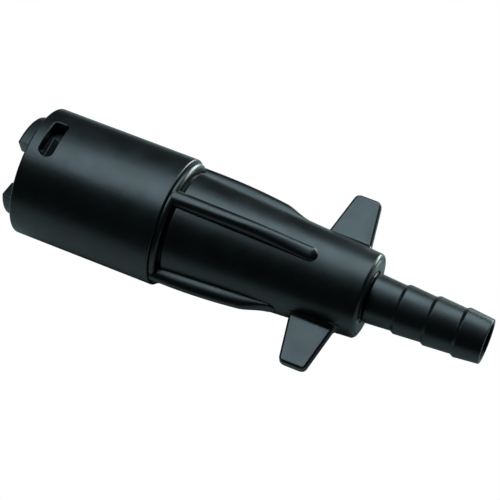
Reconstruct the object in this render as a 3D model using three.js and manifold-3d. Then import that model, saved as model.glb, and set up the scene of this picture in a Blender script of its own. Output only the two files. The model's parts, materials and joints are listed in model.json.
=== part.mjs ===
// Hose-end quick coupler for an irrigation feed line, in millimetres, lying on its side.
// Water runs along +X: a twist-lock socket at -X, a spring-closed poppet valve and a strainer
// inside a ribbed housing with two finger wings, and a swivelling barbed hose tail at +X.
// The wings lie in the XY plane. Stations along the axis are measured from the shell's front
// rim, and the finished group is shifted so that its bounding box is centred on the origin.
import * as THREE from "three";
import { mergeVertices } from "three/addons/utils/BufferGeometryUtils.js";
import Module from "manifold-3d";

const wasm = await Module();
wasm.setup();

// ---------------------------------------------------------------- driving dimensions
const ROUND = 24; // sides of a turned piece, with a flat side facing up, down and sideways
const LARGE_ROUND = 36; // sides of the shell, the collet and the housing
const GAP = 0.3; // clearance between neighbouring pieces

// Angles are in degrees round the axis, from +Z towards +Y.
const SHELL = { radius: 18.9, bore: 16.3, end: 43.2, endWall: 2.4, rim: 0.5, edge: 0.5 };
const WINDOW = { start: 3.5, end: 7.75, length: 12.2, round: 1.1, angle: 9.2 };
const CAM_PAD = { start: 0.7, end: 3.6, radius: 15.05, from: -62, to: -50 };

const COLLET = { start: -4.6, end: 20, radius: 14.8, bore: 12.5, edge: 0.6 };
const JAW = { radius: 8.4, end: 2 };
const NOTCH = { end: 3.4, from: -66.6, to: -0.2 };
const LUG = { width: 3.3, length: 6.7, round: 0.9, angle: 2.2 };
const LUG_ROOF = { foot: 15.7, ridgeAt: 5.3, ridge: 17.4, heel: 16.5 }; // radii, rising and falling

const JOURNAL = 14; // radius that the shell's end wall turns on
const SPIGOT = { start: 8, end: 20.3, radius: 12.2, bore: 9.2 };
const STOP = { start: 22, end: 24, bore: 6.6 };
const CHAMBER = 11; // radius of the housing's main bore
const COLLAR = { start: 43.5, end: 45, radius: 18.1, edge: 1.4, floor: 15.2 }; // behind the shell
const CONE = { start: 45.4, radius: 15.96, end: 102.5, endRadius: 12.4, edge: 0.5, endEdge: 1.1 };

const RIB = { width: 4.5, round: 1.5 };
// A rib's crest: [station, radius] at its front, where it starts to fall, the two control points
// of the fall, where it ends, and its tail.
const LONG_CREST = [[43.6, 18.2], [60, 18], [69, 17.9], [75, 16.7], [81, 15.4], [87.2, 14.6]];
const SHORT_CREST = [[43.6, 18.7], [54, 18.7], [65, 18.4], [71, 17], [76, 15.3], [80, 13.8]];
const WING = { rootFrom: 83.5, rootTo: 98, tipFrom: 87.1, tipTo: 94.8, tip: 27.6 };
const WING_PLATE = { thickness: 3.2, round: 0.8 };
const EMBEDDED = 10; // ribs and wings are drawn from this radius, and the bore trims them

const CLIP = { thickness: 1.1, opening: 40 }; // retaining rings are open by this angle
const COLLET_CLIP = { start: 14, floor: 11.3, inner: 11.6, outer: 13.2 };
const SHELL_CLIP = { start: 39.4, floor: 12.7, inner: 13, outer: 16 };
const CAGE_CLIP = { start: 61.3, floor: 11.9, inner: 9.6, outer: 11.6 };

const SEAL = { station: 20.7, major: 7.9, minor: 1 };
const RETAINER = { start: 17, end: 19.4, inner: 7.2, outer: 8.9 };
const SEAT = { start: 24.3, end: 29, radius: 10.7, orifice: 4.5, groove: 25.6, grooveWidth: 2, floor: 9.3 };
const SEAT_RING = { station: 26.6, major: 10.15, minor: 0.53 };
const POPPET_PIN = { start: 16, radius: 1.8, edge: 0.5 };
const POPPET_BOSS = { start: 29.3, radius: 4.4 };
const POPPET_HEAD = { start: 30.6, end: 34, radius: 7.2 };
const POPPET_STEM = { end: 63, radius: 2 };
const FACE_SEAL = { start: 29.3, end: 30.3, inner: 4.7, outer: 7 };
const SPRING = { start: 34.3, end: 56.7, radius: 4.6, wire: 0.5, turns: 7 };
const CAGE = { start: 29.3, end: 61, inner: 9.8, outer: 10.7 };
const SPIDER = { start: 57, end: 59, hub: 6.2, bore: 2.3 };
const STRAINER = { start: 62.9, ringEnd: 64.3, cap: 79.8, capEnd: 81.2, inner: 6.5, outer: 7.3 };
const STRAINER_LEG = { end: 83.7, inner: 9.4 };
const SCREEN = { start: 64.6, end: 79.5, inner: 5.6, outer: 6.2 };
const SCREEN_SLOT = { pairs: 6, width: 1.4, border: 1.5 };

const BUSH = { start: 84, end: 97.2, inner: 8.7, outer: 10.7, groove: 89.4, grooveWidth: 2, floor: 9.4 };
const BUSH_RING = { station: 90.4, major: 10.2, minor: 0.48 };
const TAIL = { start: 84.3, end: 137.1, bore: 5.4, journal: 8.4 };
const TAIL_FLANGE = { start: 97.6, end: 99.4, radius: 10.6 };
const TAIL_GROOVE = { starts: [88.2, 93], width: 1.8, floor: 7 };
const TAIL_RING = { major: 7.85, minor: 0.53 };
const BARB = { count: 4, first: 102.4, pitch: 8.8, rise: 1, foot: 6.7, crest: 7.25 };
const TIP = { radius: 6.5, edge: 0.35 };
const DISC = { start: 84.8, end: 87.2, radius: 5.9, pocket: 6.2, pocketEnd: 87.5 };
const DISC_HOLE = { count: 6, radius: 0.9, circle: 3.6 };
const WASHER = { start: 99.6, end: 100.3, inner: 7.7, outer: 10.6 };
const END_RING = { start: 100.5, end: 102.6, inner: 7.7, outer: 10.7, edge: 0.3 };

// ---------------------------------------------------------------- materials
const coated = (color, roughness, metalness) =>
  new THREE.MeshStandardMaterial({ color, roughness, metalness });
const blackPlastic = () => coated(0x17191b, 0.45, 0);
const whiteAcetal = () => coated(0xdcdcd4, 0.4, 0);
const rubber = () => coated(0x101010, 0.75, 0);
const steel = () => coated(0xb8babc, 0.3, 1);

// ---------------------------------------------------------------- shape helpers
const radians = THREE.MathUtils.degToRad;

// A profile of [station, radius] points turned about the X axis. A profile that starts on the
// axis ends on it too and makes a solid pin; any other is closed into a ring.
function turned(profile, sides = ROUND) {
  const startsOnAxis = profile[0][1] === 0;
  const loop = startsOnAxis ? [...profile] : [...profile, profile[0]];
  const points = loop.map(([station, radius]) => new THREE.Vector2(radius, station));
  if (THREE.ShapeUtils.area(points) < 0) points.reverse();
  return new THREE.LatheGeometry(points, sides, Math.PI / sides).rotateZ(-Math.PI / 2);
}

// A plain tube between two stations.
function tube({ start, end, inner, outer }) {
  return turned([[start, inner], [start, outer], [end, outer], [end, inner]]);
}

// An O-ring round the axis.
function oRing({ station, major, minor }) {
  return new THREE.TorusGeometry(major, minor, 6, ROUND).rotateY(Math.PI / 2).translate(station, 0, 0);
}

// Stands a flat outline, drawn in Y and Z and extruded, along the X axis.
const ALONG_AXIS = new THREE.Matrix4().makeBasis(
  new THREE.Vector3(0, 1, 0),
  new THREE.Vector3(0, 0, 1),
  new THREE.Vector3(1, 0, 0),
);

// A block between two radii and two angles.
function sector({ start, end, inner, outer, from, to }, steps = 6) {
  const low = radians(90 - to);
  const high = radians(90 - from);
  const outline = new THREE.Shape();
  outline.absarc(0, 0, outer, low, high, false);
  outline.absarc(0, 0, inner, high, low, true);
  const options = { depth: end - start, bevelEnabled: false, curveSegments: steps };
  return new THREE.ExtrudeGeometry(outline, options).applyMatrix4(ALONG_AXIS).translate(start, 0, 0);
}

// A bar with rounded corners standing out from the axis at an angle; `length` runs round the axis.
function roundedBar({ station, width, length, round, angle, from, to }) {
  const x = width / 2 - round;
  const y = length / 2 - round;
  const outline = new THREE.Shape();
  outline.absarc(x, y, round, 0, radians(90), false);
  outline.absarc(-x, y, round, radians(90), radians(180), false);
  outline.absarc(-x, -y, round, radians(180), radians(270), false);
  outline.absarc(x, -y, round, radians(270), radians(360), false);
  const options = { depth: to - from, bevelEnabled: false, curveSegments: 3 };
  return new THREE.ExtrudeGeometry(outline, options)
    .translate(station, 0, from)
    .rotateX(-radians(angle));
}

// A geometry as a manifold solid, without the triangles that shrink to a line on the axis.
function solid(geometry) {
  const bare = new THREE.BufferGeometry();
  bare.setAttribute("position", geometry.getAttribute("position"));
  bare.setIndex(geometry.index);
  const merged = mergeVertices(bare);
  const index = merged.index.array;
  const triangles = [];
  for (let i = 0; i < index.length; i += 3) {
    const [a, b, c] = [index[i], index[i + 1], index[i + 2]];
    if (a !== b && b !== c && c !== a) triangles.push(a, b, c);
  }
  const vertProperties = merged.getAttribute("position").array;
  const triVerts = new Uint32Array(triangles);
  return new wasm.Manifold(new wasm.Mesh({ numProp: 3, vertProperties, triVerts }));
}

const join = (...geometries) => geometries.map(solid).reduce((whole, piece) => whole.add(piece));
const cut = (whole, ...tools) => tools.map(solid).reduce((rest, tool) => rest.subtract(tool), whole);

const group = new THREE.Group();
group.position.x = -(COLLET.start + TAIL.end) / 2;

// Adds one named sub-part, from a manifold solid.
function add(name, shape, material) {
  const { vertProperties, triVerts } = shape.getMesh();
  const geometry = new THREE.BufferGeometry();
  geometry.setAttribute("position", new THREE.BufferAttribute(new Float32Array(vertProperties), 3));
  geometry.setIndex(new THREE.BufferAttribute(new Uint32Array(triVerts), 1));
  geometry.computeVertexNormals();
  const mesh = new THREE.Mesh(geometry, material);
  mesh.name = name;
  group.add(mesh);
}

// ---------------------------------------------------------------- lock shell
// Windows, cam pads, notches and lugs repeat half a turn round the axis.
const HALF_TURNS = [0, 180];

function shell() {
  const { radius, bore, end, endWall, rim, edge } = SHELL;
  const profile = [
    [0, bore + rim],
    [0, radius - rim],
    [rim, radius],
    [end - edge, radius],
    [end - edge * 0.3, radius - edge * 0.3],
    [end, radius - edge],
    [end, JOURNAL + GAP],
    [end - endWall, JOURNAL + GAP],
    [end - endWall, bore],
    [rim, bore],
  ];
  const pads = HALF_TURNS.map((turn) => {
    const { start, end: padEnd, radius: inner, from, to } = CAM_PAD;
    return sector({ start, end: padEnd, inner, outer: bore + 1, from: from + turn, to: to + turn }, 3);
  });
  const windows = HALF_TURNS.map((turn) =>
    roundedBar({
      station: (WINDOW.start + WINDOW.end) / 2,
      width: WINDOW.end - WINDOW.start,
      length: WINDOW.length,
      round: WINDOW.round,
      angle: WINDOW.angle + turn,
      from: JOURNAL,
      to: radius + 1,
    }),
  );
  return cut(join(turned(profile, LARGE_ROUND), ...pads), ...windows);
}

// ---------------------------------------------------------------- collet
// A snap lug: a block with rounded corners and a roof that rises to a ridge and falls again.
function lug(turn) {
  const station = (WINDOW.start + WINDOW.end) / 2;
  const [front, back] = [station - LUG.width, station + LUG.width];
  const { foot, ridgeAt, ridge, heel } = LUG_ROOF;
  const root = COLLET.bore + 1;
  const block = roundedBar({ ...LUG, station, angle: LUG.angle + turn, from: root, to: ridge + 1 });
  const roof = [
    [front, root],
    [front, foot],
    [station - LUG.width / 2, foot],
    [ridgeAt, ridge],
    [station + LUG.width / 2, heel],
    [back, heel],
    [back, root],
  ];
  return solid(block).intersect(solid(turned(roof, LARGE_ROUND)));
}

function collet() {
  const { start, end, radius, bore, edge } = COLLET;
  const groove = COLLET_CLIP.outer + GAP;
  const sleeve = [
    [start, JAW.radius + edge],
    [start, radius - edge],
    [start + edge, radius],
    [end, radius],
    [end, bore],
    [COLLET_CLIP.start + CLIP.thickness + GAP, bore],
    [COLLET_CLIP.start + CLIP.thickness + GAP, groove],
    [COLLET_CLIP.start - GAP, groove],
    [COLLET_CLIP.start - GAP, bore],
    [JAW.end, bore],
    [JAW.end, JAW.radius],
    [start + edge, JAW.radius],
  ];
  const notches = HALF_TURNS.map((turn) =>
    sector({
      start: start - 1,
      end: NOTCH.end,
      inner: JAW.radius - 1,
      outer: radius + 1,
      from: NOTCH.from + turn,
      to: NOTCH.to + turn,
    }),
  );
  const jaws = cut(solid(turned(sleeve, LARGE_ROUND)), ...notches);
  return HALF_TURNS.map(lug).reduce((whole, piece) => whole.add(piece), jaws);
}

// An open retaining ring of spring steel, with its gap underneath.
function retainingRing({ start, inner, outer }) {
  const half = CLIP.opening / 2;
  const end = start + CLIP.thickness;
  return solid(sector({ start, end, inner, outer, from: half - 180, to: 180 - half }, 20));
}

// ---------------------------------------------------------------- housing
// The two walls and the floor of a retaining ring's groove, from one rim to the other.
const grooveFor = ({ start, floor }, rim) => [
  [start - GAP, rim],
  [start - GAP, floor],
  [start + CLIP.thickness + GAP, floor],
  [start + CLIP.thickness + GAP, rim],
];

// The turned outside: spigot, journal, collar and tapered neck.
const HOUSING_OUTSIDE = [
  [SPIGOT.start, 0],
  [SPIGOT.start, SPIGOT.radius],
  ...grooveFor(COLLET_CLIP, SPIGOT.radius),
  [SPIGOT.end, SPIGOT.radius],
  [SPIGOT.end, JOURNAL],
  ...grooveFor(SHELL_CLIP, JOURNAL),
  [COLLAR.start, JOURNAL],
  [COLLAR.start, COLLAR.radius],
  [COLLAR.end - COLLAR.edge, COLLAR.radius],
  [COLLAR.end - COLLAR.edge * 0.3, COLLAR.radius - COLLAR.edge * 0.3],
  [COLLAR.end, COLLAR.radius - COLLAR.edge],
  [COLLAR.end, COLLAR.floor],
  [CONE.start, COLLAR.floor],
  [CONE.start, CONE.radius - CONE.edge],
  [CONE.start + CONE.edge, CONE.radius],
  [CONE.end - CONE.endEdge, CONE.endRadius],
  [CONE.end - CONE.endEdge * 0.3, CONE.endRadius - CONE.endEdge * 0.3],
  [CONE.end, CONE.endRadius - CONE.endEdge],
  [CONE.end, 0],
];

// The stepped bore right through it.
const HOUSING_BORE = [
  [SPIGOT.start - 1, 0],
  [SPIGOT.start - 1, SPIGOT.bore],
  [STOP.start, SPIGOT.bore],
  [STOP.start, STOP.bore],
  [STOP.end, STOP.bore],
  [STOP.end, CHAMBER],
  ...grooveFor(CAGE_CLIP, CHAMBER),
  [CONE.end + 1, CHAMBER],
  [CONE.end + 1, 0],
];

// A rib along the cone: tall over the front half, then swept down to a low tail. The two ribs in
// the wings' plane are the short ones.
function rib(turn) {
  const [front, fall, pullFrom, pullTo, low, tail] = turn % 2 ? SHORT_CREST : LONG_CREST;
  const side = new THREE.Shape();
  side.moveTo(front[0], EMBEDDED);
  side.lineTo(tail[0], EMBEDDED);
  side.lineTo(...tail);
  side.lineTo(...low);
  side.bezierCurveTo(...pullTo, ...pullFrom, ...fall);
  side.lineTo(...front);
  const flat = RIB.width - 2 * RIB.round;
  const options = {
    depth: flat,
    bevelThickness: RIB.round,
    bevelSize: RIB.round,
    bevelOffset: -RIB.round,
    bevelSegments: 3,
    curveSegments: 6,
  };
  return new THREE.ExtrudeGeometry(side, options)
    .translate(0, 0, -flat / 2)
    .rotateX(radians(90 * (turn + 1)));
}

// A finger wing: a flat trapezoid plate with rounded edges, standing out along Y.
function wing(side) {
  const outline = new THREE.Shape();
  outline.moveTo(WING.rootFrom, EMBEDDED);
  outline.lineTo(WING.rootTo, EMBEDDED);
  outline.lineTo(WING.tipTo, WING.tip);
  outline.lineTo(WING.tipFrom, WING.tip);
  const { thickness, round } = WING_PLATE;
  const flat = thickness - 2 * round;
  const options = {
    depth: flat,
    bevelThickness: round,
    bevelSize: round,
    bevelOffset: -round,
    bevelSegments: 2,
  };
  return new THREE.ExtrudeGeometry(outline, options)
    .translate(0, 0, -flat / 2)
    .rotateX(side > 0 ? 0 : Math.PI);
}

function body() {
  const ribs = [0, 1, 2, 3].map(rib);
  const wings = [1, -1].map(wing);
  const whole = join(turned(HOUSING_OUTSIDE, LARGE_ROUND), ...ribs, ...wings);
  return cut(whole, turned(HOUSING_BORE, LARGE_ROUND));
}

// ---------------------------------------------------------------- shut-off valve
// The valve seat, with a groove for its O-ring and a tapered mouth.
function valveSeat() {
  const { start, end, radius, orifice, groove, grooveWidth, floor } = SEAT;
  return solid(
    turned([
      [start, orifice],
      [start, radius],
      [groove, radius],
      [groove, floor],
      [groove + grooveWidth, floor],
      [groove + grooveWidth, radius],
      [end, radius],
      [end, orifice],
    ]),
  );
}

// The poppet: nose pin, boss for the face seal, head, and the stem that the cage guides.
function poppet() {
  const [pin, boss, head, stem] = [POPPET_PIN, POPPET_BOSS, POPPET_HEAD, POPPET_STEM];
  return solid(
    turned([
      [pin.start, 0],
      [pin.start, pin.radius - pin.edge],
      [pin.start + pin.edge, pin.radius],
      [boss.start, pin.radius],
      [boss.start, boss.radius],
      [head.start, boss.radius],
      [head.start, head.radius],
      [head.end, head.radius],
      [head.end, stem.radius],
      [stem.end, stem.radius],
      [stem.end, 0],
    ]),
  );
}

// The return spring's centre line, a plain helix round the axis.
class Helix extends THREE.Curve {
  getPoint(t, target = new THREE.Vector3()) {
    const { start, end, radius, wire, turns } = SPRING;
    const angle = 2 * Math.PI * turns * t;
    const station = THREE.MathUtils.lerp(start + wire, end - wire, t);
    return target.set(station, radius * Math.cos(angle), radius * Math.sin(angle));
  }
}

function valveSpring() {
  const wire = new THREE.Shape();
  wire.absarc(0, 0, SPRING.wire, 0, 2 * Math.PI, false);
  const options = { steps: SPRING.turns * 12, extrudePath: new Helix(), curveSegments: 3 };
  return solid(new THREE.ExtrudeGeometry(wire, options));
}

// Arms, ports, bars and legs repeat every quarter turn.
const QUARTER_TURNS = [0, 90, 180, 270];

// A tubular cage with a four-armed spider, whose hub guides the poppet's stem.
function springCage() {
  const plate = tube({ ...SPIDER, inner: SPIDER.bore, outer: CAGE.inner + 0.4 });
  const ports = QUARTER_TURNS.map((turn) =>
    sector({
      start: SPIDER.start - 1,
      end: SPIDER.end + 1,
      inner: SPIDER.hub,
      outer: CAGE.inner - 0.4,
      from: turn + 12,
      to: turn + 78,
    }),
  );
  return cut(join(tube(CAGE), plate), ...ports);
}

// ---------------------------------------------------------------- strainer
// The frame: a front ring, four bars round the screen with a cap, and four legs to the bush.
function strainerFrame() {
  const { start, ringEnd, cap, capEnd, inner, outer } = STRAINER;
  const rim = CHAMBER - GAP;
  const ring = tube({ start, end: ringEnd, inner, outer: rim });
  const disc = turned([[cap, 0], [cap, outer], [capEnd, outer], [capEnd, 0]]);
  const root = ringEnd - 0.5;
  const bars = QUARTER_TURNS.map((turn) =>
    sector({ start: root, end: cap + 0.5, inner, outer, from: turn - 12, to: turn + 12 }, 2),
  );
  const legs = QUARTER_TURNS.map((turn) =>
    sector({ ...STRAINER_LEG, start: root, outer: rim, from: turn + 31, to: turn + 59 }, 3),
  );
  return join(ring, disc, ...bars, ...legs);
}

// The screen: a thin sleeve with long slots all round, cut two at a time right across it.
function strainerMesh() {
  const length = SCREEN.end - SCREEN.start - 2 * SCREEN_SLOT.border;
  const slots = Array.from({ length: SCREEN_SLOT.pairs }, (_, i) =>
    new THREE.BoxGeometry(length, SCREEN_SLOT.width, 3 * SCREEN.outer)
      .translate((SCREEN.start + SCREEN.end) / 2, 0, 0)
      .rotateX((Math.PI * (i + 0.5)) / SCREEN_SLOT.pairs),
  );
  return cut(solid(tube(SCREEN)), ...slots);
}

// ---------------------------------------------------------------- swivelling hose tail
// The bush that the tail turns in, with a groove for its O-ring.
function swivelBush() {
  const { start, end, inner, outer, groove, grooveWidth, floor } = BUSH;
  return solid(
    turned([
      [start, inner],
      [start, outer],
      [groove, outer],
      [groove, floor],
      [groove + grooveWidth, floor],
      [groove + grooveWidth, outer],
      [end, outer],
      [end, inner],
    ]),
  );
}

// The tail: grooved journal, thrust flange and a row of barbs down to the tip.
function hoseTail() {
  const grooves = TAIL_GROOVE.starts.flatMap((start) => [
    [start, TAIL.journal],
    [start, TAIL_GROOVE.floor],
    [start + TAIL_GROOVE.width, TAIL_GROOVE.floor],
    [start + TAIL_GROOVE.width, TAIL.journal],
  ]);
  const barbs = Array.from({ length: BARB.count }, (_, i) => BARB.first + i * BARB.pitch).flatMap(
    (station) => [
      [station, BARB.foot],
      [station + BARB.rise, BARB.crest],
    ],
  );
  return solid(
    turned([
      [TAIL.start, DISC.pocket],
      [TAIL.start, TAIL.journal],
      ...grooves,
      [TAIL_FLANGE.start, TAIL.journal],
      [TAIL_FLANGE.start, TAIL_FLANGE.radius],
      [TAIL_FLANGE.end, TAIL_FLANGE.radius],
      [TAIL_FLANGE.end, WASHER.inner - GAP],
      [END_RING.end - END_RING.edge, WASHER.inner - GAP],
      ...barbs,
      [TAIL.end - TIP.edge, TIP.radius],
      [TAIL.end, TIP.radius - TIP.edge],
      [TAIL.end, TAIL.bore],
      [DISC.pocketEnd, TAIL.bore],
      [DISC.pocketEnd, DISC.pocket],
    ]),
  );
}

// The metering disc: a plug with one ring of small holes round its centre.
function flowDisc() {
  const { start, end, radius } = DISC;
  const plug = turned([[start, 0], [start, radius], [end, radius], [end, 0]]);
  const drills = Array.from({ length: DISC_HOLE.count }, (_, i) =>
    new THREE.CylinderGeometry(DISC_HOLE.radius, DISC_HOLE.radius, end - start + 2, 8)
      .rotateZ(Math.PI / 2)
      .translate((start + end) / 2, 0, DISC_HOLE.circle)
      .rotateX((2 * Math.PI * i) / DISC_HOLE.count),
  );
  return cut(solid(plug), ...drills);
}

// The ring that closes the housing's end round the tail.
function endRing() {
  const { start, end, inner, outer, edge } = END_RING;
  return solid(
    turned([
      [start, inner],
      [start, outer],
      [end - edge, outer],
      [end, outer - edge],
      [end, inner + edge],
      [end - edge, inner],
    ]),
  );
}

// ---------------------------------------------------------------- assembly
add("shell", shell(), blackPlastic());
add("shell_circlip", retainingRing(SHELL_CLIP), steel());
add("collet", collet(), blackPlastic());
add("collet_snap_ring", retainingRing(COLLET_CLIP), steel());
add("body", body(), blackPlastic());
add("seal_retainer", solid(tube(RETAINER)), whiteAcetal());
add("socket_seal", solid(oRing(SEAL)), rubber());
add("valve_seat", valveSeat(), whiteAcetal());
add("seat_oring", solid(oRing(SEAT_RING)), rubber());
add("poppet", poppet(), whiteAcetal());
add("poppet_seal", solid(tube(FACE_SEAL)), rubber());
add("valve_spring", valveSpring(), steel());
add("spring_cage", springCage(), whiteAcetal());
add("cage_clip", retainingRing(CAGE_CLIP), steel());
add("strainer_frame", strainerFrame(), whiteAcetal());
add("strainer_mesh", strainerMesh(), steel());
add("swivel_bush", swivelBush(), whiteAcetal());
add("bush_oring", solid(oRing(BUSH_RING)), rubber());
add("hose_tail", hoseTail(), blackPlastic());
add("flow_disc", flowDisc(), rubber());
TAIL_GROOVE.starts.forEach((start, i) => {
  const ring = oRing({ ...TAIL_RING, station: start + TAIL_GROOVE.width / 2 });
  add(["tail_oring_front", "tail_oring_rear"][i], solid(ring), rubber());
});
add("thrust_washer", solid(tube(WASHER)), whiteAcetal());
add("end_ring", endRing(), blackPlastic());

export default group;
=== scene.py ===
import json
import math

import bmesh
import bpy
from mathutils import Matrix, Vector


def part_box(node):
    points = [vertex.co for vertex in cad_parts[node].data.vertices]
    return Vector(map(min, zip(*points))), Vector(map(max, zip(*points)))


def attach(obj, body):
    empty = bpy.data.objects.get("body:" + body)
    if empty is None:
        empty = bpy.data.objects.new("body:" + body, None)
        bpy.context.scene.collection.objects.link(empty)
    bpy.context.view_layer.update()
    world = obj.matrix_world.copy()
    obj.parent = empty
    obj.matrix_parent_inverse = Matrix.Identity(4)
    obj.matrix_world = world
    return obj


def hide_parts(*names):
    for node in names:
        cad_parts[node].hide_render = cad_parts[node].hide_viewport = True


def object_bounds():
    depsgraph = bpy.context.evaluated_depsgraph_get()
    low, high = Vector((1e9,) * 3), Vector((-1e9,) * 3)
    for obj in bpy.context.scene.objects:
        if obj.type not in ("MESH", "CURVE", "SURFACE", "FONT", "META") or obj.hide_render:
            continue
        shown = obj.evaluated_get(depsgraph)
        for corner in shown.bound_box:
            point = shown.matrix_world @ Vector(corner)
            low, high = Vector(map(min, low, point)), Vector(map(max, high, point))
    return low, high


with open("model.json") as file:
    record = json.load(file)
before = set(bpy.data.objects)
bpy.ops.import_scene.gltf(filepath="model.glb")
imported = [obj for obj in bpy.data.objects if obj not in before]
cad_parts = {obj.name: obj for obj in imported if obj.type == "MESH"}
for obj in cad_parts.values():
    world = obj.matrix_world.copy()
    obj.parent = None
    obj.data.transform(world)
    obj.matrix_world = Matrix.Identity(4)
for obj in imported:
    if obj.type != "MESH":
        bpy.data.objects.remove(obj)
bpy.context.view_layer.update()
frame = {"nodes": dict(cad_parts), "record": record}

# ---------------------------------------------------------------- driving dimensions
# Stations run along the axis from the shell's front rim. Angles are in degrees round the axis,
# from +Z towards +Y.
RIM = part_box("shell")[0].x
BOTH_SIDES = (0, 180)

SHELL_RADIUS = 0.0189
SHELL_BORE = 0.0163
SHELL_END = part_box("shell")[1].x - RIM
END_WALL = 0.0024
JOURNAL_RADIUS = 0.014
JOURNAL_GAP = 0.0003

WINDOW_START, WINDOW_END = 0.0035, 0.00775
WINDOW_LENGTH = 0.0122
WINDOW_CORNERS = (0.0012, 0.0019)  # the fillets at its high end and at its low end
WINDOW_ANGLE = 9.2
WINDOW_EDGE = 0.0004

PAD_START, PAD_END = 0.0007, 0.0036
PAD_RADIUS = 0.01505
PAD_ANGLES = (-62, -50)
PAD_EDGE = 0.00025

JAW_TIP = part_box("collet")[0].x - RIM
JAW_BORE = 0.0084
JAW_END = 0.002
COLLET_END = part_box("collet")[1].x - RIM
COLLET_RADIUS = 0.0148
COLLET_BORE = 0.0125
COLLET_EDGE = 0.0003
NOTCH_END = 0.0034
NOTCH_ANGLES = (-66.6, -0.2)

LUG_START, LUG_END = 0.00398, 0.00727
LUG_ANGLES = (-8.9, 13.4)
LUG_ROOT = 0.0132
LUG_FOOT = 0.0157
LUG_RIDGE_AT, LUG_RIDGE = 0.0053, 0.0174
LUG_HEEL = 0.0155
LUG_MIDDLE = 0.0165
LUG_EDGE = 0.0003

SPIGOT_START, SPIGOT_END = 0.008, 0.0203
SPIGOT_RADIUS = 0.0122
SNAP_GROOVE = (0.0137, 0.0154, 0.0113)  # the two ends and the floor's radius
CLIP_GROOVE = (0.0391, 0.0408, 0.0127)
CAGE_GROOVE = (0.061, 0.0627, 0.0119)
SEAL_BORE = 0.0092
WATERWAY = 0.0066
WATERWAY_START, WATERWAY_END = 0.022, 0.024
HOUSING_BORE = 0.011

COLLAR_START = SHELL_END + 0.00012
COLLAR_END = 0.045
COLLAR_RADIUS = 0.0181
COLLAR_FLOOR = 0.0149
CONE_START = 0.0454
CONE_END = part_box("body")[1].x - RIM
CONE_RADIUS = 0.01596
NECK_RADIUS = 0.0124
CONE_SLOPE = (CONE_RADIUS - NECK_RADIUS) / (CONE_END - CONE_START)

RIB_START = COLLAR_START + 0.0001
LONG_RIB_END, SHORT_RIB_END = 0.0872, 0.080
RIB_HALF_WIDTH = 0.00235
RIB_TAPER = 0.0048
RIB_DEPTH = 0.0012  # below the cone's surface
RIB_TAIL = 0.0022
RIB_ROUND = 0.0004
LONG_CREST, LONG_CREST_FALL, LONG_CREST_TAIL = 0.0182, 0.0136, 0.00125
LONG_SWEEP = (0.064, 0.088)  # where the crest sweeps down to its low tail
SHORT_CREST, SHORT_CREST_BOW, SHORT_CREST_TAIL = 0.01875, 3.0, 0.00062
SHORT_BOW_FROM = 0.048
SHORT_SWEEP = (0.070, 0.080)

WING_ROOT = 0.0118
WING_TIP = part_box("body")[1].y
WING_THICK = 0.0032
WING_LOW, WING_LOW_LEAN = 0.0835, 0.0036
WING_HIGH, WING_HIGH_LEAN = 0.098, -0.0032
WING_LEAN_FROM = 0.010
WING_EDGE = 0.0008
WING_CORNER = 0.0014
WING_FILLET = 0.0012

TAIL_START = 0.0843
TAIL_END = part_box("hose_tail")[1].x - RIM
TAIL_BORE = 0.0054
TAIL_TIP = 0.0065
TAIL_JOURNAL = 0.0084
ORING_FLOOR = 0.007
ORING_GROOVES = ((0.0882, 0.09), (0.093, 0.0948))
FLANGE_START, FLANGE_END = 0.0976, 0.0994
FLANGE_RADIUS = 0.0106
DISC_SEAT = 0.0875
DISC_SEAT_RADIUS = 0.0062
TAIL_NECK = 0.0074
BARB_COUNT = 4
BARB_FIRST = 0.1024
BARB_PITCH = 0.0088
BARB_RISE = 0.001
BARB_FOOT = 0.0067
BARB_CREST = 0.00725

RING_START = 0.1005
RING_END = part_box("end_ring")[1].x - RIM
RING_BORE, RING_RADIUS = 0.0077, 0.0109

ROUND_STEPS = 192
FINE_ROUND_STEPS = 256


# ---------------------------------------------------------------- mesh helpers
CREASE = 40  # an edge that turns by more degrees than this is shaded as sharp
SOFTENED_FROM = 35  # and one that turns by more than this is rounded by softened()


def cone_radius(station):
    """Radius of the housing's tapered neck at a station."""
    return CONE_RADIUS - CONE_SLOPE * (station - CONE_START)


def fillet(before, corner, after, radius, steps):
    """Points of the arc that rounds one corner of an outline."""
    a, b, c = Vector(before), Vector(corner), Vector(after)
    to_a, to_c = (a - b).normalized(), (c - b).normalized()
    half = to_a.angle(to_c) / 2
    reach = radius / math.tan(half)
    centre = b + (to_a + to_c).normalized() * (radius / math.sin(half))
    start, end = b + to_a * reach - centre, b + to_c * reach - centre
    return [centre + start.slerp(end, k / steps) * radius for k in range(steps + 1)]


def rounded(outline, closed, steps=6):
    """An outline of (station, radius) or (station, radius, fillet) corners, with its fillets drawn."""
    corners = [Vector(p[:2]) for p in outline]
    path = []
    for i, point in enumerate(outline):
        size = point[2] if len(point) > 2 else 0
        if size and (closed or 0 < i < len(outline) - 1):
            before, after = corners[i - 1], corners[(i + 1) % len(corners)]
            path += fillet(before, corners[i], after, size, steps)
        else:
            path.append(corners[i])
    return path


def tidy(piece):
    """Merges double points, turns faces outward, smooths them and keeps creases sharp."""
    mesh = bmesh.new()
    mesh.from_mesh(piece.data)
    bmesh.ops.remove_doubles(mesh, verts=mesh.verts, dist=1e-6)
    bmesh.ops.dissolve_degenerate(mesh, dist=1e-6, edges=mesh.edges)
    bmesh.ops.recalc_face_normals(mesh, faces=mesh.faces)
    if mesh.calc_volume(signed=True) < 0:
        bmesh.ops.reverse_faces(mesh, faces=mesh.faces)
    for face in mesh.faces:
        face.smooth = True
    for edge in mesh.edges:
        edge.smooth = len(edge.link_faces) == 2 and edge.calc_face_angle(0) < math.radians(CREASE)
    mesh.to_mesh(piece.data)
    mesh.free()
    return piece


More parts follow.
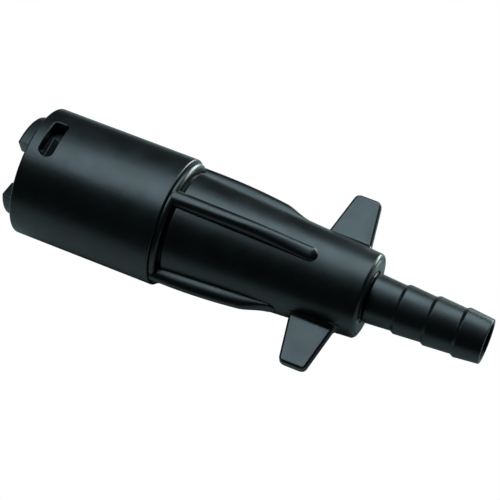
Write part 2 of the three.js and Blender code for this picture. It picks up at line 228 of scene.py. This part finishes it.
def made(name, points, faces):
    """A new mesh object from points and faces."""
    mesh = bpy.data.meshes.new(name)
    mesh.from_pydata([tuple(p) for p in points], [], faces)
    piece = bpy.data.objects.new(name, mesh)
    bpy.context.collection.objects.link(piece)
    return tidy(piece)


def lofted(name, sections, looped=False, capped=True):
    """Skins a row of point loops that all have the same number of points."""
    count = len(sections[0])
    points = [p for section in sections for p in section]
    faces = []
    rows = len(sections)
    for i in range(rows if looped else rows - 1):
        for j in range(count):
            a, b = i * count + j, i * count + (j + 1) % count
            c, d = (i + 1) % rows * count + (j + 1) % count, (i + 1) % rows * count + j
            faces.append((a, b, c, d))
    if capped and not looped:
        faces.append(tuple(range(count)))
        faces.append(tuple((rows - 1) * count + j for j in range(count)))
    return made(name, points, faces)


def polar(station, radius, angle):
    """A point given by its station, its distance from the axis and its angle round it."""
    turn = math.radians(angle)
    return Vector((RIM + station, radius * math.sin(turn), radius * math.cos(turn)))


def turned(name, outline, steps=ROUND_STEPS, fillet_steps=6):
    """A solid of revolution. An outline that starts on the axis ends on it; any other is closed."""
    closed = outline[0][1] > 0
    path = rounded(outline, closed, fillet_steps)
    sections = [[polar(x, r, 360 * k / steps) for k in range(steps)] for x, r in path]
    return lofted(name, sections, looped=closed, capped=False)


def combine(piece, other, operation):
    """Joins or cuts one mesh with another, and removes the other."""
    change = piece.modifiers.new("combine", "BOOLEAN")
    change.operation = operation
    change.object = other
    change.solver = "EXACT"
    depsgraph = bpy.context.evaluated_depsgraph_get()
    result = bpy.data.meshes.new_from_object(piece.evaluated_get(depsgraph))
    piece.modifiers.clear()
    piece.data = result
    bpy.data.objects.remove(other)
    return tidy(piece)


def quarter(steps):
    """The angles of a quarter turn, in radians, from 0."""
    return [math.radians(90 / steps * k) for k in range(steps + 1)]


def shortfall(radius, past):
    """How far a round of the given radius has fallen, this far past its start."""
    return radius - math.sqrt(max(0.0, radius**2 - max(0.0, past) ** 2))


def softened(piece, width):
    """Rounds every sharp edge."""
    bevel = piece.modifiers.new("edges", "BEVEL")
    bevel.width = width
    bevel.segments = 3
    bevel.limit_method = "ANGLE"
    bevel.angle_limit = math.radians(SOFTENED_FROM)
    bevel.use_clamp_overlap = False
    depsgraph = bpy.context.evaluated_depsgraph_get()
    result = bpy.data.meshes.new_from_object(piece.evaluated_get(depsgraph))
    piece.modifiers.clear()
    piece.data = result
    return tidy(piece)


def shaded(piece):
    """Weights the shading by face area, so that flats stay flat beside their fillets."""
    weights = piece.modifiers.new("shading", "WEIGHTED_NORMAL")
    weights.keep_sharp = True
    return piece


# ---------------------------------------------------------------- materials
def shader(name, colour, roughness, metallic=0.0):
    """A new material with its main shader set; returns the material, its nodes and the shader."""
    material = bpy.data.materials.new(name)
    material.use_nodes = True
    principled = material.node_tree.nodes["Principled BSDF"]
    principled.inputs["Base Color"].default_value = (*colour, 1)
    principled.inputs["Roughness"].default_value = roughness
    principled.inputs["Metallic"].default_value = metallic
    return material, material.node_tree, principled


def noise(tree, scale, detail):
    """Noise in the object's own coordinates, with `scale` features to the metre."""
    place = tree.nodes.new("ShaderNodeTexCoord")
    texture = tree.nodes.new("ShaderNodeTexNoise")
    texture.inputs["Scale"].default_value = scale
    texture.inputs["Detail"].default_value = detail
    tree.links.new(place.outputs["Object"], texture.inputs["Vector"])
    return texture.outputs["Fac"]


def spread(tree, value, low, high):
    """Maps a 0 to 1 value on to a range, with its middle stretched out."""
    ramp = tree.nodes.new("ShaderNodeMapRange")
    ramp.inputs["From Min"].default_value = 0.3
    ramp.inputs["From Max"].default_value = 0.7
    ramp.inputs["To Min"].default_value = low
    ramp.inputs["To Max"].default_value = high
    tree.links.new(value, ramp.inputs["Value"])
    return ramp.outputs["Result"]


def bumped(tree, value, height, below=None):
    """A bump of the given height in metres, laid over another bump if there is one."""
    bump = tree.nodes.new("ShaderNodeBump")
    bump.inputs["Strength"].default_value = 1.0
    bump.inputs["Distance"].default_value = height
    tree.links.new(value, bump.inputs["Height"])
    if below:
        tree.links.new(below, bump.inputs["Normal"])
    return bump.outputs["Normal"]


def tinted(tree, value, dark, light):
    """A colour that drifts between two tones."""
    colour_a, colour_b, colour_out = 6, 7, 2  # the mix node's sockets for colours
    mix = tree.nodes.new("ShaderNodeMix")
    mix.data_type = "RGBA"
    mix.inputs[colour_a].default_value = (*dark, 1)
    mix.inputs[colour_b].default_value = (*light, 1)
    tree.links.new(value, mix.inputs["Factor"])
    return mix.outputs[colour_out]


def moulded_plastic(name, dark, light, rough, sink=0.00006):
    """Injection-moulded plastic: fine grain, faint sink waves and uneven sheen."""
    grain = 0.000014
    material, tree, principled = shader(name, dark, rough[0])
    drift = spread(tree, noise(tree, 70, 3), 0, 1)
    links = tree.links
    links.new(tinted(tree, drift, dark, light), principled.inputs["Base Color"])
    links.new(spread(tree, noise(tree, 160, 4), *rough), principled.inputs["Roughness"])
    waves = bumped(tree, noise(tree, 110, 1), sink)
    skin = bumped(tree, noise(tree, 2400, 2), grain, below=waves)
    links.new(skin, principled.inputs["Normal"])
    return material


def soft_rubber(name, dark, light):
    """Moulded rubber: matte, with a fine skin and a faint bloom."""
    material, tree, principled = shader(name, dark, 0.7)
    links = tree.links
    bloom = spread(tree, noise(tree, 400, 3), 0, 1)
    links.new(tinted(tree, bloom, dark, light), principled.inputs["Base Color"])
    links.new(spread(tree, noise(tree, 900, 2), 0.6, 0.8), principled.inputs["Roughness"])
    links.new(bumped(tree, noise(tree, 5000, 2), 0.00001), principled.inputs["Normal"])
    return material


def drawn_steel(name):
    """Stainless spring steel with fine draw marks."""
    material, tree, principled = shader(name, (0.56, 0.56, 0.57), 0.28, metallic=1.0)
    links = tree.links
    links.new(spread(tree, noise(tree, 2500, 3), 0.2, 0.38), principled.inputs["Roughness"])
    links.new(bumped(tree, noise(tree, 6000, 2), 0.000004), principled.inputs["Normal"])
    return material


MATERIAL_OF_SLOT = {
    "shell_plastic": moulded_plastic(
        "shell_plastic", (0.0028, 0.003, 0.003), (0.0045, 0.005, 0.005), (0.31, 0.38)
    ),
    "body_plastic": moulded_plastic(
        "body_plastic", (0.0025, 0.0028, 0.0028), (0.0045, 0.0048, 0.0048), (0.29, 0.37)
    ),
    "collet_plastic": moulded_plastic(
        "collet_plastic", (0.006, 0.0068, 0.007), (0.009, 0.01, 0.0105), (0.36, 0.45)
    ),
    "tail_plastic": moulded_plastic(
        "tail_plastic", (0.003, 0.0032, 0.0032), (0.005, 0.0055, 0.0055), (0.31, 0.38)
    ),
    "acetal": moulded_plastic(
        "acetal", (0.6, 0.6, 0.55), (0.68, 0.67, 0.62), (0.32, 0.42), sink=0.00002
    ),
    "rubber": soft_rubber("rubber", (0.012, 0.012, 0.012), (0.022, 0.021, 0.02)),
    "spring_steel": drawn_steel("spring_steel"),
}
SLOT_OF_NODE = {s["node"]: s["material_slot"] for s in frame["record"]["subparts"]}
BODY_OF_NODE = {n: body for body, ns in frame["record"]["behaviour"]["bodies"].items() for n in ns}


def dress(piece, material):
    """Gives a piece one material all over."""
    piece.data.materials.clear()
    piece.data.materials.append(material)


def stands_for(piece, node):
    """The piece takes a CAD node's place, its body and its finish."""
    dress(piece, MATERIAL_OF_SLOT[SLOT_OF_NODE[node]])
    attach(piece, BODY_OF_NODE[node])
    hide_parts(node)


# ---------------------------------------------------------------- lock shell
def rounded_oblong(width, length, high_corner, low_corner):
    """Points and outward directions round an oblong, across and along its length."""
    longest_step = 0.0006
    corners = (
        (1, 1, high_corner, 0),
        (-1, 1, high_corner, 90),
        (-1, -1, low_corner, 180),
        (1, -1, low_corner, 270),
    )
    outline = []
    for side_x, side_y, corner, start in corners:
        middle_x, middle_y = side_x * (width / 2 - corner), side_y * (length / 2 - corner)
        for k in range(7):
            turn = math.radians(start + 15 * k)
            across, along = math.cos(turn), math.sin(turn)
            outline.append(((middle_x + corner * across, middle_y + corner * along), (across, along)))
    filled = []
    for (here, facing), (there, _) in zip(outline, outline[1:] + outline[:1]):
        pieces = max(1, round(math.dist(here, there) / longest_step))
        for k in range(pieces):
            share = k / pieces
            step = (here[0] + (there[0] - here[0]) * share, here[1] + (there[1] - here[1]) * share)
            filled.append((step, facing))
    return filled


def window_cutter(turn):
    """The window's tunnel through the shell's wall, flared at both faces to round its edges."""
    outline = rounded_oblong(WINDOW_END - WINDOW_START, WINDOW_LENGTH, *WINDOW_CORNERS)
    middle = (WINDOW_START + WINDOW_END) / 2
    bends = [math.radians(80 * k / 6) for k in range(7)]
    levels = [(SHELL_BORE - 0.0006, WINDOW_EDGE)]
    levels += [
        (SHELL_BORE + WINDOW_EDGE * (1 - math.sin(b)), WINDOW_EDGE * (1 - math.cos(b)))
        for b in reversed(bends)
    ]
    levels += [
        (SHELL_RADIUS - WINDOW_EDGE * (1 - math.sin(b)), WINDOW_EDGE * (1 - math.cos(b)))
        for b in bends
    ]
    levels += [(SHELL_RADIUS + 0.003, WINDOW_EDGE)]
    sections = []
    for radius, flare in levels:
        section = []
        for (across, along), (out_across, out_along) in outline:
            angle = math.degrees((along + out_along * flare) / SHELL_RADIUS)
            station = middle + across + out_across * flare
            section.append(polar(station, radius, WINDOW_ANGLE + turn + angle))
        sections.append(section)
    return lofted("window", sections)


def block(start, end, inner, outer, low, high):
    """A block between two stations, two radii and two angles."""
    angles = [low + (high - low) * k / 12 for k in range(13)]
    sections = [
        [polar(start, inner, a), polar(end, inner, a), polar(end, outer, a), polar(start, outer, a)]
        for a in angles
    ]
    return lofted("block", sections)


def make_shell():
    """The twist-lock sleeve, with two windows and two cam pads."""
    outline = [
        (0, SHELL_BORE, 0.0004),
        (0, SHELL_RADIUS, 0.0006),
        (SHELL_END, SHELL_RADIUS, 0.0004),
        (SHELL_END, JOURNAL_RADIUS + JOURNAL_GAP, 0.0003),
        (SHELL_END - END_WALL, JOURNAL_RADIUS + JOURNAL_GAP, 0.0003),
        (SHELL_END - END_WALL, SHELL_BORE, 0.0008),
    ]
    shell = turned("lock_shell", outline, steps=FINE_ROUND_STEPS, fillet_steps=8)
    for turn in BOTH_SIDES:
        low, high = (angle + turn for angle in PAD_ANGLES)
        pad = block(PAD_START, PAD_END, PAD_RADIUS, SHELL_BORE + 0.001, low, high)
        shell = combine(shell, softened(pad, PAD_EDGE), "UNION")
        shell = combine(shell, window_cutter(turn), "DIFFERENCE")
    stands_for(shaded(shell), "shell")


# ---------------------------------------------------------------- collet
def make_lug(turn):
    """A snap lug: a low roof, with its ridge along the window and its ends rounded."""
    ends = [(LUG_EDGE * (1 - math.sin(t)), LUG_EDGE * (1 - math.cos(t))) for t in quarter(6)]
    low, high = (angle + turn for angle in LUG_ANGLES)
    stops = [(low + math.degrees(reach / LUG_MIDDLE), inset) for inset, reach in ends]
    stops += [(high - math.degrees(reach / LUG_MIDDLE), inset) for inset, reach in reversed(ends)]
    sections = []
    for angle, inset in stops:
        front, back = LUG_START + inset, LUG_END - inset
        outline = [
            (front, LUG_ROOT),
            (front, LUG_FOOT - inset, 0.0003),
            (LUG_RIDGE_AT, LUG_RIDGE - inset, 0.00025),
            (back, LUG_HEEL - inset, 0.0003),
            (back, LUG_ROOT),
        ]
        sections.append([polar(x, r, angle) for x, r in rounded(outline, closed=True)])
    return lofted("lug", sections)


def make_collet():
    """The ring of two jaws, with a snap lug on each side."""
    outline = [
        (JAW_TIP, JAW_BORE, 0.0007),
        (JAW_TIP, COLLET_RADIUS, 0.0009),
        (COLLET_END, COLLET_RADIUS, 0.0003),
        (COLLET_END, COLLET_BORE, 0.0002),
        (JAW_END, COLLET_BORE, 0.0007),
        (JAW_END, JAW_BORE, 0.0005),
    ]
    collet = turned("jaw_collet", outline)
    for turn in BOTH_SIDES:
        low, high = (angle + turn for angle in NOTCH_ANGLES)
        notch = block(JAW_TIP - 0.001, NOTCH_END, JAW_BORE - 0.001, COLLET_RADIUS + 0.001, low, high)
        collet = combine(collet, notch, "DIFFERENCE")
    for turn in BOTH_SIDES:
        collet = combine(collet, make_lug(turn), "UNION")
    stands_for(shaded(softened(collet, COLLET_EDGE)), "collet")


# ---------------------------------------------------------------- housing
def smooth_step(value, low, high):
    """0 below low, 1 above high, and a smooth rise between."""
    t = min(1.0, max(0.0, (value - low) / (high - low)))
    return t * t * (3 - 2 * t)


def long_crest(station):
    """Distance of a long rib's crest from the axis: high in front, then swept down to a low tail."""
    high = LONG_CREST - LONG_CREST_FALL * (station - COLLAR_START)
    low = cone_radius(station) + LONG_CREST_TAIL
    return high + (low - high) * smooth_step(station, *LONG_SWEEP)


def short_crest(station):
    """Distance of a short rib's crest from the axis: it bows down and runs out on the neck."""
    high = SHORT_CREST - SHORT_CREST_BOW * max(0.0, station - SHORT_BOW_FROM) ** 2
    low = cone_radius(station) + SHORT_CREST_TAIL
    return high + (low - high) * smooth_step(station, *SHORT_SWEEP)


def rib_section(base, half, rise):
    """Half of an oval on a straight root, as points across the rib and out from the axis."""
    root = base - RIB_DEPTH
    section = [(half, root)]
    for k in range(25):
        turn = math.radians(180 * k / 24)
        across = math.copysign(abs(math.cos(turn)) ** 0.9, math.cos(turn))
        section.append((half * across, base + rise * math.sin(turn) ** 0.9))
    section.append((-half, root))
    return section


def make_rib(turn):
    """A half-round rib, with a flat front end and a round tail."""
    crest, end = (short_crest, SHORT_RIB_END) if turn % 2 else (long_crest, LONG_RIB_END)
    tail_from = end - RIB_TAIL
    stations = [RIB_START + RIB_ROUND * (1 - math.cos(t)) for t in quarter(6)]
    stations += [m for m in (RIB_START + 0.0005 * k for k in range(2, 88)) if m < tail_from]
    stations += [end - RIB_TAIL * (1 - math.sin(t)) for t in quarter(12)]
    spin = Matrix.Rotation(-math.radians(90 * turn), 3, "X")
    sections = []
    for station in stations:
        inset = shortfall(RIB_ROUND, RIB_START + RIB_ROUND - station)
        past = max(0.0, station - tail_from) / RIB_TAIL
        narrow = max(0.02, math.sqrt(max(0.0, 1 - past**2)))
        base = cone_radius(station)
        half = (RIB_HALF_WIDTH - RIB_TAPER * (station - CONE_START) - inset) * narrow
        rise = (crest(station) - base - inset) * narrow
        section = rib_section(base, half, rise)
        sections.append([spin @ Vector((RIM + station, a, b)) for a, b in section])
    return lofted("rib", sections)


def wing_outline(reach, shrink):
    """The rounded oblong of one slice of a wing, and the ends between which it lies."""
    share = (reach - WING_LEAN_FROM) / (WING_TIP - WING_LEAN_FROM)
    pull = shortfall(WING_CORNER, reach - (WING_TIP - WING_CORNER))
    low = WING_LOW + WING_LOW_LEAN * share + pull
    high = WING_HIGH + WING_HIGH_LEAN * share - pull
    thick = WING_THICK / 2 - shrink
    edge = min(WING_EDGE, thick)
    corners = (
        (high - edge, thick - edge, 0),
        (low + edge, thick - edge, 90),
        (low + edge, edge - thick, 180),
        (high - edge, edge - thick, 270),
    )
    outline = []
    for x, z, start in corners:
        for k in range(7):
            turn = math.radians(start + 15 * k)
            outline.append((x + edge * math.cos(turn), z + edge * math.sin(turn)))
    return outline, low, high


def wing_section(reach, shrink):
    """One slice of a wing, square to its span, and flared where it meets the neck."""
    outline, low, high = wing_outline(reach, shrink)
    centre = (low + high) / 2
    points = []
    for x, z in outline:
        depth = math.hypot(reach, z) - cone_radius(x)
        flare = shortfall(WING_FILLET, WING_FILLET - max(0.0, depth))
        at_end = abs(x - centre) > (high - low) * 0.45
        sideways = math.copysign(flare, x - centre) if at_end else 0.0
        points.append((x + sideways, z + math.copysign(flare, z)))
    return points


def make_wing(side):
    """A flat finger wing, with round edges and a fillet where it meets the neck."""
    reaches = [WING_ROOT + 0.0002 * k for k in range(14)]
    reaches += [r for r in (0.0148 + 0.001 * k for k in range(12)) if r < WING_TIP - 0.0016]
    reaches += [WING_TIP - 0.0013, WING_TIP - 0.001]
    reaches += [WING_TIP - WING_EDGE * (1 - math.sin(t)) for t in quarter(10)]
    sections = []
    for reach in reaches:
        shrink = shortfall(WING_EDGE, reach - (WING_TIP - WING_EDGE))
        sections.append([Vector((RIM + x, side * reach, z)) for x, z in wing_section(reach, shrink)])
    return lofted("wing", sections)


def groove(sides, radius):
    """Corners of a groove cut from a face of the given radius."""
    start, end, floor = sides
    return [(start, radius), (start, floor), (end, floor), (end, radius)]


def make_housing():
    """The spigot, journal, collar and cone in one turned piece, with its ribs and wings."""
    outline = [
        (SPIGOT_START, SEAL_BORE, 0.0004),
        (SPIGOT_START, SPIGOT_RADIUS, 0.0004),
        *groove(SNAP_GROOVE, SPIGOT_RADIUS),
        (SPIGOT_END, SPIGOT_RADIUS),
        (SPIGOT_END, JOURNAL_RADIUS, 0.0003),
        *groove(CLIP_GROOVE, JOURNAL_RADIUS),
        (COLLAR_START, JOURNAL_RADIUS, 0.0003),
        (COLLAR_START, COLLAR_RADIUS, 0.0002),
        (COLLAR_END, COLLAR_RADIUS, 0.0012),
        (COLLAR_END, COLLAR_FLOOR),
        (CONE_START, COLLAR_FLOOR),
        (CONE_START, CONE_RADIUS, 0.0009),
        (CONE_END, NECK_RADIUS, 0.0011),
        (CONE_END, HOUSING_BORE, 0.0001),
        *reversed(groove(CAGE_GROOVE, HOUSING_BORE)),
        (WATERWAY_END, HOUSING_BORE),
        (WATERWAY_END, WATERWAY, 0.0002),
        (WATERWAY_START, WATERWAY, 0.0002),
        (WATERWAY_START, SEAL_BORE),
    ]
    housing = turned("ribbed_housing", outline, steps=FINE_ROUND_STEPS)
    for turn in range(4):
        housing = combine(housing, make_rib(turn), "UNION")
    for side in (1, -1):
        housing = combine(housing, make_wing(side), "UNION")
    stands_for(shaded(housing), "body")


# ---------------------------------------------------------------- tail and end ring
def make_tail():
    """The hose tail: its journal with two O-ring grooves, its flange, and its barbs."""
    outline = [
        (TAIL_START, DISC_SEAT_RADIUS, 0.0002),
        (TAIL_START, TAIL_JOURNAL, 0.0004),
    ]
    for start, end in ORING_GROOVES:
        outline += [
            (start, TAIL_JOURNAL, 0.0001),
            (start, ORING_FLOOR),
            (end, ORING_FLOOR),
            (end, TAIL_JOURNAL, 0.0001),
        ]
    outline += [
        (FLANGE_START, TAIL_JOURNAL, 0.0002),
        (FLANGE_START, FLANGE_RADIUS, 0.0003),
        (FLANGE_END, FLANGE_RADIUS, 0.0003),
        (FLANGE_END, TAIL_NECK, 0.0003),
        (RING_END - 0.0003, TAIL_NECK, 0.0003),
    ]
    for k in range(BARB_COUNT):
        foot = BARB_FIRST + BARB_PITCH * k
        outline += [(foot, BARB_FOOT, 0.0002), (foot + BARB_RISE, BARB_CREST, 0.0003)]
    outline += [
        (TAIL_END, TAIL_TIP, 0.00035),
        (TAIL_END, TAIL_BORE, 0.0003),
        (DISC_SEAT, TAIL_BORE, 0.0003),
        (DISC_SEAT, DISC_SEAT_RADIUS, 0.0001),
    ]
    stands_for(shaded(turned("barbed_tail", outline)), "hose_tail")


def make_end_ring():
    """The ring round the tail, in the housing's end face."""
    outline = [
        (RING_START, RING_BORE, 0.0002),
        (RING_START, RING_RADIUS, 0.0002),
        (RING_END, RING_RADIUS, 0.0003),
        (RING_END, RING_BORE, 0.0003),
    ]
    stands_for(shaded(turned("gland_ring", outline)), "end_ring")


make_shell()
make_collet()
make_housing()
make_tail()
make_end_ring()
for node, piece in frame["nodes"].items():
    dress(piece, MATERIAL_OF_SLOT[SLOT_OF_NODE[node]])

# ---------------------------------------------------------------- camera
AXIS_SLANT = math.radians(21)  # the axis runs down to the right in the picture by this much
AXIS_TILT = math.radians(13)  # and its tail end comes towards the camera by this much
ROLL = math.radians(22.4)  # the wings are turned from the view by this much
DISTANCE = 0.57
PICTURE_WIDTH = 0.14  # what the picture spans at the object
SENSOR = 36  # in millimetres
LOOKS_AT = Vector((RIM + 0.0661, 0, 0))
RISE = 0.00024  # of the camera above the axis, across the picture


def camera_turn():
    """The row frame's axes as the camera sees them, one to a row."""
    along = Vector(
        (
            math.cos(AXIS_TILT) * math.cos(AXIS_SLANT),
            -math.cos(AXIS_TILT) * math.sin(AXIS_SLANT),
            math.sin(AXIS_TILT),
        )
    )
    facing = (Vector((0, 0, 1)) - along * math.sin(AXIS_TILT)).normalized()
    upward = Vector((math.sin(AXIS_SLANT), math.cos(AXIS_SLANT), 0))
    across = upward * math.cos(ROLL) - facing * math.sin(ROLL)
    above = facing * math.cos(ROLL) + upward * math.sin(ROLL)
    return Matrix((along, across, above))


def make_camera():
    """Stands the camera off the middle of the object, square to the picture."""
    turn = camera_turn()
    camera = bpy.data.objects.new("camera", bpy.data.cameras.new("camera"))
    camera.data.sensor_width = SENSOR
    camera.data.lens = SENSOR * DISTANCE / PICTURE_WIDTH
    camera.data.clip_end = 4 * DISTANCE
    rise = Vector((math.sin(AXIS_SLANT), math.cos(AXIS_SLANT), 0)) * RISE
    stand = LOOKS_AT + turn @ (rise + Vector((0, 0, DISTANCE)))
    camera.matrix_world = Matrix.Translation(stand) @ turn.to_4x4()
    bpy.context.collection.objects.link(camera)
    bpy.context.scene.camera = camera


# ---------------------------------------------------------------- floor and light
FLOOR_REACH = 3.0
FLOOR_BACK = 0.055
DARK_STUDIO = 0.02
LIGHT_DISTANCE = 0.8


def make_floor():
    """A pale floor that reads as plain white, and ends a little behind the object."""
    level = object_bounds()[0].z
    corners = [
        (-FLOOR_REACH, -FLOOR_REACH, level),
        (FLOOR_REACH, -FLOOR_REACH, level),
        (FLOOR_REACH, FLOOR_BACK, level),
        (-FLOOR_REACH, FLOOR_BACK, level),
    ]
    floor = made("floor", corners, [(0, 1, 2, 3)])
    material, tree, principled = shader("pale_floor", (0.85, 0.87, 0.83), 0.8)
    principled.inputs["Specular IOR Level"].default_value = 0.1
    white = tree.nodes.new("ShaderNodeEmission")
    white.inputs["Strength"].default_value = 1.0
    mix_for_camera(tree, principled.outputs["BSDF"], white.outputs["Emission"], "Material Output")
    dress(floor, material)


def mix_for_camera(tree, lighting, seen, output):
    """Shows one shader to the camera, and lights the object with another."""
    path = tree.nodes.new("ShaderNodeLightPath")
    mix = tree.nodes.new("ShaderNodeMixShader")
    tree.links.new(path.outputs["Is Camera Ray"], mix.inputs["Fac"])
    tree.links.new(lighting, mix.inputs[1])
    tree.links.new(seen, mix.inputs[2])
    tree.links.new(mix.outputs["Shader"], tree.nodes[output].inputs["Surface"])


def make_world():
    """A dark studio with a white backdrop."""
    world = bpy.data.worlds.new("studio")
    world.use_nodes = True
    tree = world.node_tree
    dark = tree.nodes["Background"]
    dark.inputs["Color"].default_value = (0.9, 1.0, 1.0, 1)
    dark.inputs["Strength"].default_value = DARK_STUDIO
    white = tree.nodes.new("ShaderNodeBackground")
    white.inputs["Color"].default_value = (1, 1, 1, 1)
    mix_for_camera(tree, dark.outputs["Background"], white.outputs["Background"], "World Output")
    bpy.context.scene.world = world


def make_softbox(name, lean, lift, slant, size, power, colour):
    """A soft oblong light that faces the object.

    Lean is the light's direction along the axis, as a cosine; lift is its angle round the axis,
    from the camera upward; slant turns its long side from the axis towards the lift.
    """
    bearing = math.radians(lift) - ROLL
    spread_out = math.sqrt(1 - lean**2)
    back = Vector((lean, spread_out * math.sin(bearing), spread_out * math.cos(bearing)))
    rising = Vector((0, math.cos(bearing), -math.sin(bearing)))
    along = rising.cross(back)
    long_side = along * math.cos(math.radians(slant)) + rising * math.sin(math.radians(slant))
    light = bpy.data.lights.new(name, "AREA")
    light.shape = "RECTANGLE"
    light.size, light.size_y = size
    light.energy = power
    light.color = colour
    lamp = bpy.data.objects.new(name, light)
    facing = Matrix((long_side, back.cross(long_side), back)).transposed().to_4x4()
    lamp.matrix_world = Matrix.Translation(back * LIGHT_DISTANCE) @ facing
    lamp.visible_camera = False
    bpy.context.collection.objects.link(lamp)


make_camera()
make_floor()
make_softbox("strip", -0.116, 59.8, 59.9, (1.594, 0.362), 8.8, (0.65, 0.9, 1.0))
make_softbox("rim", 0.4, 140, 0, (0.5, 0.5), 10, (0.85, 1.0, 0.97))
make_world()
bpy.context.scene.view_settings.view_transform = "Standard"
